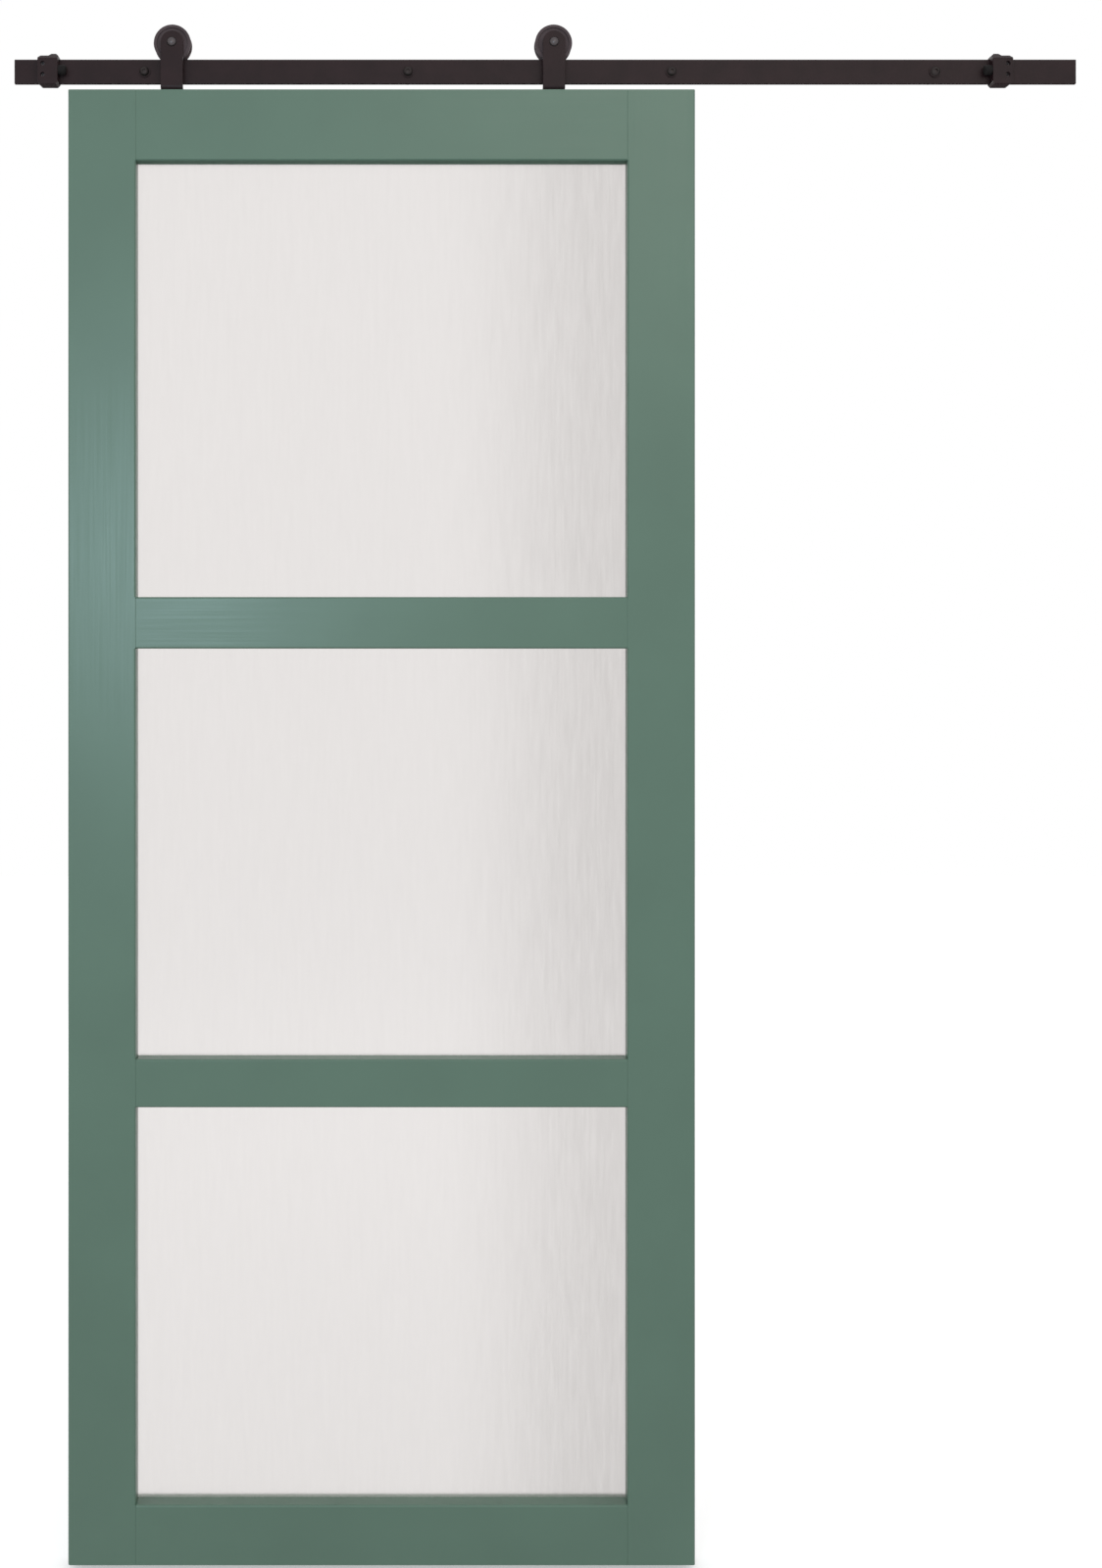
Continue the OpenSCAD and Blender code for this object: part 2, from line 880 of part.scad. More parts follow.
// Ring of the bearing between two radii, with its ball groove
module bearing_ring(side, inner_r, outer_r) {
    color(steel_bright)
        at_axle(side, track_mid)
            rotate_extrude()
                difference() {
                    translate([inner_r, -bearing_w / 2])
                        square([outer_r - inner_r, bearing_w]);
                    translate([pitch_r, 0])
                        circle(r = race_r);
                }
}

module bearing_inner_ring(side) {
    bearing_ring(side, axle_r + ring_play, inner_shoulder_r);
}

module bearing_outer_ring(side) {
    bearing_ring(side, outer_shoulder_r, bearing_r);
}

// Puts a piece at each ball of a bearing
module at_balls() {
    for (i = [0 : ball_count - 1])
        rotate([0, 0, i * 360 / ball_count])
            translate([pitch_r, 0, 0])
                children();
}

module bearing_balls(side) {
    color(steel_bright)
        at_axle(side, track_mid)
            at_balls()
                sphere(d = ball_d);
}

module bearing_cage(side) {
    color(steel_bright)
        at_axle(side, track_mid)
            difference() {
                translate([0, 0, -cage_w / 2])
                    tube(2 * pitch_r + cage_t, 2 * pitch_r - cage_t, cage_w);
                at_balls()
                    rotate([0, 90, 0])
                        cylinder(r = race_r, h = ball_d, center = true);
            }
}

// Half section of a wheel: grooved tread, flanges, dished faces and bearing seat
module wheel_section() {
    half = wheel_w / 2;
    seat_r = bearing_r + ring_play;
    bore_r = outer_shoulder_r;
    hub_r = seat_r + hub_wall;
    ring_r = flange_r - rim_ring;
    circlip_front = -bearing_w / 2;
    circlip_back = circlip_front - circlip_t - 2 * ring_play;
    polygon([
        [bore_r, half],
        [hub_r, half],
        [hub_r, half - dish_depth],
        [ring_r, half - dish_depth],
        [ring_r, half],
        [flange_r, half],
        [flange_r, half - flange_tip],
        [tread_r, groove_half],
        [tread_r, -groove_half],
        [flange_r, flange_tip - half],
        [flange_r, -half],
        [ring_r, -half],
        [ring_r, dish_depth - half],
        [hub_r, dish_depth - half],
        [hub_r, -half],
        [seat_r, -half],
        [seat_r, circlip_back],
        [seat_r + circlip_groove, circlip_back],
        [seat_r + circlip_groove, circlip_front],
        [seat_r, circlip_front],
        [seat_r, bearing_w / 2],
        [bore_r, bearing_w / 2],
    ]);
}

module wheel(side) {
    color(steel_black)
        at_axle(side, track_mid)
            rotate_extrude()
                wheel_section();
}

module circlip(side) {
    outer_r = bearing_r + circlip_groove;
    color(steel_bright)
        at_axle(side, track_mid + bearing_w / 2 + circlip_t + ring_play)
            difference() {
                tube(2 * outer_r, 2 * (outer_r - circlip_ring), circlip_t);
                translate([-circlip_mouth / 2, 0, -cut])
                    cube([circlip_mouth, outer_r + cut, circlip_t + 2 * cut]);
            }
}

rail_track();
wall_spacer(0);  // wall_spacer_1
wall_spacer(1);  // wall_spacer_2
wall_spacer(2);  // wall_spacer_3
wall_spacer(3);  // wall_spacer_4
wall_washers();
wall_screws();
stop_body(LEFT);  // stop_left_body
stop_bumper(LEFT);  // stop_left_bumper
stop_body(RIGHT);  // stop_right_body
stop_bumper(RIGHT);  // stop_right_bumper
stop_screws();
stile_left();
stile_right();
top_rail();
mid_rail(UPPER, MIDDLE, mid_rail_upper_h);  // mid_rail_upper
mid_rail(MIDDLE, LOWER, mid_rail_lower_h);  // mid_rail_lower
bottom_rail();
glass(UPPER);  // glass_upper
glass(MIDDLE);  // glass_middle
glass(LOWER);  // glass_lower
setting_blocks();
bead(UPPER, TOP);  // bead_upper_top
bead(UPPER, RIGHT_EDGE);  // bead_upper_right
bead(UPPER, BOTTOM);  // bead_upper_bottom
bead(UPPER, LEFT_EDGE);  // bead_upper_left
bead(MIDDLE, TOP);  // bead_middle_top
bead(MIDDLE, RIGHT_EDGE);  // bead_middle_right
bead(MIDDLE, BOTTOM);  // bead_middle_bottom
bead(MIDDLE, LEFT_EDGE);  // bead_middle_left
bead(LOWER, TOP);  // bead_lower_top
bead(LOWER, RIGHT_EDGE);  // bead_lower_right
bead(LOWER, BOTTOM);  // bead_lower_bottom
bead(LOWER, LEFT_EDGE);  // bead_lower_left
bead_pins();
hanger_bracket(LEFT);  // hanger_left_bracket
hanger_axle(LEFT);  // hanger_left_axle
hanger_front_sleeve(LEFT);  // hanger_left_front_sleeve
hanger_back_sleeve(LEFT);  // hanger_left_back_sleeve
hanger_bracket(RIGHT);  // hanger_right_bracket
hanger_axle(RIGHT);  // hanger_right_axle
hanger_front_sleeve(RIGHT);  // hanger_right_front_sleeve
hanger_back_sleeve(RIGHT);  // hanger_right_back_sleeve
axle_washers();
axle_nuts();
foot_screws();
bearing_inner_ring(LEFT);  // bearing_left_inner_ring
bearing_outer_ring(LEFT);  // bearing_left_outer_ring
bearing_balls(LEFT);  // bearing_left_balls
bearing_cage(LEFT);  // bearing_left_cage
bearing_inner_ring(RIGHT);  // bearing_right_inner_ring
bearing_outer_ring(RIGHT);  // bearing_right_outer_ring
bearing_balls(RIGHT);  // bearing_right_balls
bearing_cage(RIGHT);  // bearing_right_cage
wheel(LEFT);  // wheel_left
circlip(LEFT);  // circlip_left
wheel(RIGHT);  // wheel_right
circlip(RIGHT);  // circlip_right
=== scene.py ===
"""Looks of the glazed sliding door: paint, obscure glass, black hardware, studio and camera."""
import logging
import math
from collections.abc import Callable, Iterable
from dataclasses import dataclass
from enum import Enum
from functools import partial

import bmesh
import bpy
from mathutils import Matrix, Vector, noise


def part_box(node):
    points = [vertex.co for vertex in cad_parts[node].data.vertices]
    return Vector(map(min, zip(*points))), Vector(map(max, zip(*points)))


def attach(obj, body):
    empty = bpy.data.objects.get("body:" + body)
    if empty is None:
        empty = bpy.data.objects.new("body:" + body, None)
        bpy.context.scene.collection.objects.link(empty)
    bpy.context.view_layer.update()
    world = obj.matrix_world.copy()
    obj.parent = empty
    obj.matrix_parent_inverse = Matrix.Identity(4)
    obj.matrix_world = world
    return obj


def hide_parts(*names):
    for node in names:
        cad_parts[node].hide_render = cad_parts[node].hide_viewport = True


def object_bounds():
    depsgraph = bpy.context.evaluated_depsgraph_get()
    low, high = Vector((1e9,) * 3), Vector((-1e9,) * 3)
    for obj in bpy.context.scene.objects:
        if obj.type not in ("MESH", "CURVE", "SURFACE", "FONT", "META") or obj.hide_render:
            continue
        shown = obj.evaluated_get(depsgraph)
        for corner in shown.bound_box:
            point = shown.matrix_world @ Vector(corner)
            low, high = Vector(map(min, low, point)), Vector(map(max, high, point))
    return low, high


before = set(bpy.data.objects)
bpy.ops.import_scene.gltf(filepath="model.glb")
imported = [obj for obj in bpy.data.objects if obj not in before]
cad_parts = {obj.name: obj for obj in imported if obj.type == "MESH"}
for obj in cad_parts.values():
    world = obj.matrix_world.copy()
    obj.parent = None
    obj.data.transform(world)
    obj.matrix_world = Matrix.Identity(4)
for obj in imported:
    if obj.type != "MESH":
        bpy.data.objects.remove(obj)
CAD_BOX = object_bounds()
LOG = logging.getLogger("sliding_door")

Colour = tuple[float, float, float]
Triple = tuple[float, float, float]
Span = tuple[float, float]
RingValue = float | Callable[[float], float]
Socket = bpy.types.NodeSocket

BACKWARD = Vector((0.0, 1.0, 0.0))
DOWNWARD = Vector((0.0, 0.0, -1.0))


class Grain(Enum):
    """Direction in which timber was planed and brushed, as waves per metre along X, Y and Z."""

    UPRIGHT = (420.0, 420.0, 5.0)
    LEVEL = (5.0, 420.0, 420.0)


class Side(Enum):
    """Hand of a hanger or a stop, seen from the room."""

    LEFT = "left"
    RIGHT = "right"


class Pane(Enum):
    """The three panes, from the top down."""

    UPPER = "upper"
    MIDDLE = "middle"
    LOWER = "lower"


class HeadForm(Enum):
    """Form of a screw's head."""

    DOMED = "domed"
    COUNTERSUNK = "countersunk"


class Arithmetic(Enum):
    """How two values that vary over a surface are put together."""

    SUM = "ADD"
    PRODUCT = "MULTIPLY"


class Shader:
    """Builds one node material around its Principled shader."""

    NOISE_MIDDLE: Span = (0.3, 0.7)
    LOOKING_DOWN: Span = (-0.5, -0.9)

    def __init__(self, name: str) -> None:
        """Starts a material.

        Args:
            name: Name of the material.
        """
        self.material = bpy.data.materials.new(name)
        self.material.use_nodes = True
        self.tree = self.material.node_tree
        self.bsdf = self.tree.nodes["Principled BSDF"]
        self.place = self.add("ShaderNodeTexCoord").outputs["Object"]

    def add(self, kind: str) -> bpy.types.Node:
        """Adds a node of the given kind and returns it."""
        return self.tree.nodes.new(kind)

    def link(self, source: Socket, target: Socket) -> None:
        """Joins two sockets."""
        self.tree.links.new(source, target)

    def feed(self, name: str, source: Socket) -> None:
        """Links a value to the Principled shader's socket of that name."""
        self.link(source, self.bsdf.inputs[name])

    def set(self, **values: float | tuple[float, ...]) -> None:
        """Sets plain values on the Principled shader.

        Args:
            values: Socket names in lower case, with underscores for spaces.
        """
        sockets = {s.name.lower().replace(" ", "_"): s for s in self.bsdf.inputs}
        for name, value in values.items():
            sockets[name].default_value = value

    def noise(self, stretch: float | Triple, detail: float = 2.0) -> Socket:
        """Adds a noise over the object's own place.

        Args:
            stretch: Waves per metre, all ways or along X, Y and Z.
            detail: Octaves of the noise.

        Returns:
            The noise, from 0 to 1.
        """
        mapping = self.add("ShaderNodeMapping")
        waves = stretch if isinstance(stretch, tuple) else (stretch,) * 3
        mapping.inputs["Scale"].default_value = waves
        self.link(self.place, mapping.inputs["Vector"])
        texture = self.add("ShaderNodeTexNoise")
        texture.inputs["Scale"].default_value = 1.0
        texture.inputs["Detail"].default_value = detail
        self.link(mapping.outputs["Vector"], texture.inputs["Vector"])
        return texture.outputs["Fac"]

    def ramp(self, source: Socket, ends: Span, levels: Span = (0.0, 1.0),
             soft: bool = False) -> Socket:
        """Maps a value from one span to another.

        Args:
            source: The value.
            ends: Values of the source where the ramp starts and ends.
            levels: Results there.
            soft: True if the ramp eases in and out.

        Returns:
            The mapped value.
        """
        step = self.add("ShaderNodeMapRange")
        if soft:
            step.interpolation_type = "SMOOTHSTEP"
        step.inputs["From Min"].default_value, step.inputs["From Max"].default_value = ends
        step.inputs["To Min"].default_value, step.inputs["To Max"].default_value = levels
        self.link(source, step.inputs["Value"])
        return step.outputs["Result"]

    def spread(self, source: Socket, low: float = 0.0, high: float = 1.0) -> Socket:
        """Maps the middle of a noise to a span of values."""
        return self.ramp(source, self.NOISE_MIDDLE, (low, high))

    def across(self, ends: Span) -> Socket:
        """Adds a soft step along X.

        Args:
            ends: Places where the step starts and where it is complete, in metres.

        Returns:
            A value that goes from 0 to 1.
        """
        split = self.add("ShaderNodeSeparateXYZ")
        self.link(self.place, split.inputs["Vector"])
        return self.ramp(split.outputs["X"], ends, soft=True)

    def away(self, centre: Triple, reach: Span, levels: Span) -> Socket:
        """Adds a value that changes softly with the distance from a point.

        Args:
            centre: The point.
            reach: Distances where the change starts and ends, in metres.
            levels: Values there.

        Returns:
            The value.
        """
        distance = self.add("ShaderNodeVectorMath")
        distance.operation = "DISTANCE"
        self.link(self.place, distance.inputs[0])
        distance.inputs[1].default_value = centre
        return self.ramp(distance.outputs["Value"], reach, levels, soft=True)

    def underside(self, rise: float) -> Socket:
        """Adds a value that is 0 on most faces and rises on those that look down.

        Args:
            rise: Value on a face that looks straight down.

        Returns:
            The value.
        """
        split = self.add("ShaderNodeSeparateXYZ")
        normal = self.add("ShaderNodeNewGeometry").outputs["Normal"]
        self.link(normal, split.inputs["Vector"])
        return self.ramp(split.outputs["Z"], self.LOOKING_DOWN, (0.0, rise))

    def combine(self, how: Arithmetic, first: Socket, second: Socket) -> Socket:
        """Puts two values together that vary over the surface.

        Args:
            how: The way to put them together.
            first: One value.
            second: The other value.

        Returns:
            The result.
        """
        node = self.add("ShaderNodeMath")
        node.operation = how.value
        self.link(first, node.inputs[0])
        self.link(second, node.inputs[1])
        return node.outputs["Value"]

    def mixed(self, share: Socket, first: Socket, second: Socket) -> Socket:
        """Mixes two shaders.

        Args:
            share: Share of the second shader.
            first: Shader where the share is 0.
            second: Shader where it is 1.

        Returns:
            The mix.
        """
        mix = self.add("ShaderNodeMixShader")
        self.link(share, mix.inputs["Fac"])
        self.link(first, mix.inputs[1])
        self.link(second, mix.inputs[2])
        return mix.outputs["Shader"]

    def colour_by(self, share: Socket, first: Colour, second: Colour) -> None:
        """Gives the surface a blend of two colours.

        Args:
            share: Share of the second colour.
            first: Colour where the share is 0.
            second: Colour where it is 1.
        """
        mix = self.add("ShaderNodeMix")
        mix.data_type = "RGBA"
        self.link(share, mix.inputs["Factor"])
        ends = (s for s in mix.inputs if s.type == "RGBA")
        for socket, colour in zip(ends, (first, second)):
            socket.default_value = (*colour, 1.0)
        self.feed("Base Color", next(s for s in mix.outputs if s.type == "RGBA"))

    def roughen(self, source: Socket, middle: float, play: Span, underside: float = 0.0) -> None:
        """Gives the surface a roughness that varies with a noise.

        Args:
            source: A noise from 0 to 1.
            middle: The usual roughness.
            play: How far it falls below that, and how far it rises above.
            underside: How much rougher the faces are that look down.
        """
        rough = self.spread(source, middle - play[0], middle + play[1])
        if underside:
            rough = self.combine(Arithmetic.SUM, rough, self.underside(underside))
        self.feed("Roughness", rough)

    def bump(self, height: Socket, depth: float) -> None:
        """Adds relief on top of any relief that the shader already has.

        Args:
            height: Height from 0 to 1.
            depth: Depth of the relief in metres.
        """
        bump = self.add("ShaderNodeBump")
        bump.inputs["Distance"].default_value = depth
        self.link(height, bump.inputs["Height"])
        normal = self.bsdf.inputs["Normal"]
        if normal.is_linked:
            self.link(normal.links[0].from_socket, bump.inputs["Normal"])
        self.link(bump.outputs["Normal"], normal)


def scaled(colour: Colour, share: float) -> Colour:
    """Returns a colour made lighter or darker by a share."""
    return tuple(min(1.0, c * share) for c in colour)


def varied(colour: Colour, variation: float) -> tuple[Colour, Colour]:
    """Returns a colour made darker and made lighter by the same variation."""
    return scaled(colour, 1.0 - variation), scaled(colour, 1.0 + variation)


@dataclass(frozen=True)
class PaintFinish:
    """Satin paint over timber, with the grain just showing through."""

    name: str
    grain: Grain
    colour: Colour = (0.109, 0.191, 0.139)
    variation: float = 0.04
    mottle_waves: float = 7.0
    roughness: float = 0.34
    roughness_play: Span = (0.03, 0.03)
    matt_undersides: float = 0.6
    grain_depth: float = 0.000025
    roller_waves: float = 900.0
    roller_depth: float = 0.00004

    def make(self) -> bpy.types.Material:
        """Makes the paint.

        Returns:
            The material.
        """
        shader = Shader(self.name)
        mottle = shader.noise(self.mottle_waves, detail=4.0)
        grain = shader.noise(self.grain.value, detail=3.0)
        shader.colour_by(shader.spread(mottle), *varied(self.colour, self.variation))
        shader.roughen(grain, self.roughness, self.roughness_play, self.matt_undersides)
        shader.bump(grain, self.grain_depth)
        shader.bump(shader.noise(self.roller_waves), self.roller_depth)
        return shader.material


@dataclass(frozen=True)
class GlassFinish:
    """Satin obscure glass with fine upright streaks, and painted shade that darkens its right side.
    """

    name: str
    # Where the painted shade on the right side starts and where it is full, across X in metres.
    painted_shade_from: float
    painted_shade_to: float
    colour: Colour = (0.832, 0.805, 0.791)
    # Colour of the glass under the full painted shade.
    painted_shade_colour: Colour = (0.664, 0.640, 0.627)
    roughness: float = 0.32
    transmission: float = 1.0
    ior: float = 1.5
    gloss: Colour = (0.3, 0.3, 0.3)
    streaks: Triple = (210.0, 210.0, 15.0)
    streak_depth: float = 0.0002
    thin: float = 0.58
    faint: float = 0.16

    def make(self) -> bpy.types.Material:
        """Makes the glass.

        Returns:
            The material.
        """
        shader = Shader(self.name)
        streaks = shader.noise(self.streaks, detail=4.0)
        # Painted shade: the right side of the pane is darkened and broken up by the streaks; the
        # faint streak tone all over is the glass's own.
        step = shader.across((self.painted_shade_from, self.painted_shade_to))
        side = shader.combine(Arithmetic.PRODUCT, step, shader.spread(streaks, self.thin))
        all_over = shader.spread(streaks, high=self.faint)
        streaks_and_painted_shade = shader.combine(Arithmetic.SUM, side, all_over)
        shader.colour_by(streaks_and_painted_shade, self.colour, self.painted_shade_colour)
        shader.set(roughness=self.roughness, transmission_weight=self.transmission, ior=self.ior,
                   specular_tint=(*self.gloss, 1.0))
        shader.bump(streaks, self.streak_depth)
        return shader.material


@dataclass(frozen=True)
class PowderCoat:
    """Fine black-brown powder coat on steel."""

    name: str
    colour: Colour = (0.0195, 0.0085, 0.0100)
    variation: float = 0.18
    mottle_waves: float = 30.0
    roughness: float = 0.42
    roughness_play: Span = (0.06, 0.06)
    gloss: float = 0.2
    matt_undersides: float = 0.6
    peel_waves: float = 1300.0
    peel_depth: float = 0.00012

    def make(self) -> bpy.types.Material:
        """Makes the coat.

        Returns:
            The material.
        """
        shader = Shader(self.name)
        mottle = shader.noise(self.mottle_waves, detail=3.0)
        peel = shader.noise(self.peel_waves)
        shader.colour_by(shader.spread(mottle), *varied(self.colour, self.variation))
        shader.roughen(peel, self.roughness, self.roughness_play, self.matt_undersides)
        shader.set(specular_ior_level=self.gloss)
        shader.bump(peel, self.peel_depth)
        return shader.material


@dataclass(frozen=True)
class SteelFinish:
    """Turned or blackened steel with fine tool marks."""

    name: str
    colour: Colour
    roughness: float
    roughness_play: Span = (0.05, 0.08)
    marks: Triple = (300.0, 2500.0, 300.0)
    mark_tone: float = 0.85
    mark_depth: float = 0.00003

    def make(self) -> bpy.types.Material:
        """Makes the steel.

        Returns:
            The material.
        """
        shader = Shader(self.name)
        marks = shader.noise(self.marks, detail=3.0)
        shader.colour_by(shader.spread(marks), scaled(self.colour, self.mark_tone), self.colour)
        shader.roughen(marks, self.roughness, self.roughness_play)
        shader.set(metallic=1.0)
        shader.bump(marks, self.mark_depth)
        return shader.material


@dataclass(frozen=True)
class RubberFinish:
    """Matt moulded rubber."""

    name: str
    colour: Colour = (0.007, 0.006, 0.006)
    skin_tone: float = 1.6
    roughness: float = 0.75
    roughness_play: Span = (0.08, 0.08)
    gloss: float = 0.2
    skin_waves: float = 1800.0
    skin_depth: float = 0.00008

    def make(self) -> bpy.types.Material:
        """Makes the rubber.

        Returns:
            The material.
        """
        shader = Shader(self.name)
        skin = shader.noise(self.skin_waves, detail=3.0)
        shader.colour_by(shader.spread(skin), self.colour, scaled(self.colour, self.skin_tone))
        shader.roughen(skin, self.roughness, self.roughness_play)
        shader.set(specular_ior_level=self.gloss)
        shader.bump(skin, self.skin_depth)
        return shader.material


@dataclass(frozen=True)
class EdgeEase:
    """Small round on the edges of a CAD node, made by modifiers alone."""

    radius: float
    segments: int = 2
    angle: float = math.radians(30.0)
    weld: float = 1e-6

    def apply(self, obj: bpy.types.Object) -> None:
        """Adds the modifiers to an object.

        Args:
            obj: Object of a CAD node.
        """
        weld = obj.modifiers.new("weld", "WELD")
        weld.merge_threshold = self.weld
        bevel = obj.modifiers.new("ease", "BEVEL")
        bevel.width = self.radius
        bevel.segments = self.segments
        bevel.limit_method = "ANGLE"
        bevel.angle_limit = self.angle
        bevel.use_clamp_overlap = False
        bevel.loop_slide = False
        weighted = obj.modifiers.new("weighted", "WEIGHTED_NORMAL")
        weighted.mode = "FACE_AREA"


def dress(nodes: Iterable[str], material: bpy.types.Material, ease: EdgeEase | None = None) -> None:
    """Gives CAD nodes a material and eased edges.

    Args:
        nodes: Names of the nodes.
        material: The material that they take.
        ease: The round on their edges, if any.
    """
    for name in nodes:
        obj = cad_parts[name]
        obj.data.materials.clear()
        obj.data.materials.append(material)
        if ease:
            ease.apply(obj)
        LOG.info("dressed %s with %s", name, material.name)


def place_piece(name: str, mesh: bpy.types.Mesh, material: bpy.types.Material, body: str,
                node: str) -> bpy.types.Object:
    """Puts a new mesh in the scene as a piece of the door.

    Args:
        name: Name of the piece.
        mesh: Its mesh, in the frame of the CAD.
        material: Its material.
        body: CAD body that it rides on.
        node: CAD node that it stands for.

    Returns:
        The new object.
    """
    obj = bpy.data.objects.new(name, mesh)
    bpy.context.scene.collection.objects.link(obj)
    mesh.materials.append(material)
    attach(obj, body)
    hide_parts(node)
    LOG.info("built %s on %s with %d faces", name, body, len(mesh.polygons))
    return obj


class RingLoft:
    """Skins a row of rings about an axis into one closed mesh, such as a screw or a nut."""

    def __init__(self, origin: Vector, axis: Vector, segments: int) -> None:
        """Starts an empty loft.

        Args:
            origin: Point where the distance along the axis is 0.
            axis: Direction of the axis.
            segments: Points on each ring.
        """
        self.segments = segments
        turn = Vector((0.0, 0.0, 1.0)).rotation_difference(axis).to_matrix().to_4x4()
        self.matrix = Matrix.Translation(origin) @ turn
        self.mesh = bmesh.new()
        self.rings: list[list[bmesh.types.BMVert]] = []

    def ring(self, along: RingValue, radius: RingValue) -> None:
        """Adds a ring.

        Args:
            along: Distance of the ring along the axis, or a function of the angle that gives it.
            radius: Its radius, or a function of the angle that gives it.
        """
        verts = []
        for i in range(self.segments):
            angle = math.tau * i / self.segments
            r = radius(angle) if callable(radius) else radius
            z = along(angle) if callable(along) else along
            point = self.matrix @ Vector((r * math.cos(angle), r * math.sin(angle), z))
            verts.append(self.mesh.verts.new(point))
        self.rings.append(verts)

    def finish(self, name: str, closed: bool = False) -> bpy.types.Mesh:
        """Skins the rings and caps the ends.

        Args:
            name: Name of the mesh.
            closed: True if the last ring joins the first, as on a nut.

        Returns:
            The mesh, smooth but for its sharp edges.
        """
        pairs = list(zip(self.rings, self.rings[1:]))
        if closed:
            pairs.append((self.rings[-1], self.rings[0]))
        for low, high in pairs:
            for i in range(self.segments):
                j = (i + 1) % self.segments
                self.mesh.faces.new((low[i], low[j], high[j], high[i]))
        if not closed:
            self.mesh.faces.new(list(reversed(self.rings[0])))
            self.mesh.faces.new(self.rings[-1])
        return finished_mesh(self.mesh, name)


def finished_mesh(source: bmesh.types.BMesh, name: str,
                  sharp: float = math.radians(35.0)) -> bpy.types.Mesh:
    """Turns a bmesh into a mesh that is smooth but for its sharp edges.

    Args:
        source: The bmesh, which is freed.
        name: Name of the mesh.
        sharp: Angle from which an edge stays sharp.

    Returns:
        The mesh.
    """
    bmesh.ops.recalc_face_normals(source, faces=source.faces)
    for face in source.faces:
        face.smooth = True
    for edge in source.edges:
        edge.smooth = edge.calc_face_angle(0.0) < sharp
    mesh = bpy.data.meshes.new(name)
    source.to_mesh(mesh)
    source.free()
    return mesh


@dataclass(frozen=True)
class Hexagon:
    """Outline of a hexagon of a given width across its flats."""

    flats: float

    def radius(self, angle: float) -> float:
        """Returns the distance from the middle to the outline at an angle."""
        sixth = math.tau / 6
        return self.flats / 2 / math.cos((angle % sixth) - sixth / 2)


@dataclass
class Leaf:
    """Painted timber frame of the door with its glazing beads."""

    ease: EdgeEase = EdgeEase(0.0004)
    bead_ease: EdgeEase = EdgeEase(0.0005)
    pin_roughness: float = 0.5
    stiles: tuple[str, ...] = ("stile_left", "stile_right")
    rails: tuple[str, ...] = ("top_rail", "mid_rail_upper", "mid_rail_lower", "bottom_rail")

    def build(self) -> None:
        """Dresses the timber, the beads and their pins."""
        upright = PaintFinish("paint_upright", Grain.UPRIGHT).make()
        level = PaintFinish("paint_level", Grain.LEVEL).make()
        dress(self.stiles, upright, self.ease)
        dress(self.rails, level, self.ease)
        for pane in Pane:
            for paint, edges in ((upright, ("left", "right")), (level, ("top", "bottom"))):
                dress((f"bead_{pane.value}_{edge}" for edge in edges), paint, self.bead_ease)
        pins = PaintFinish("paint_on_pins", Grain.UPRIGHT, roughness=self.pin_roughness)
        dress(("bead_pins",), pins.make())


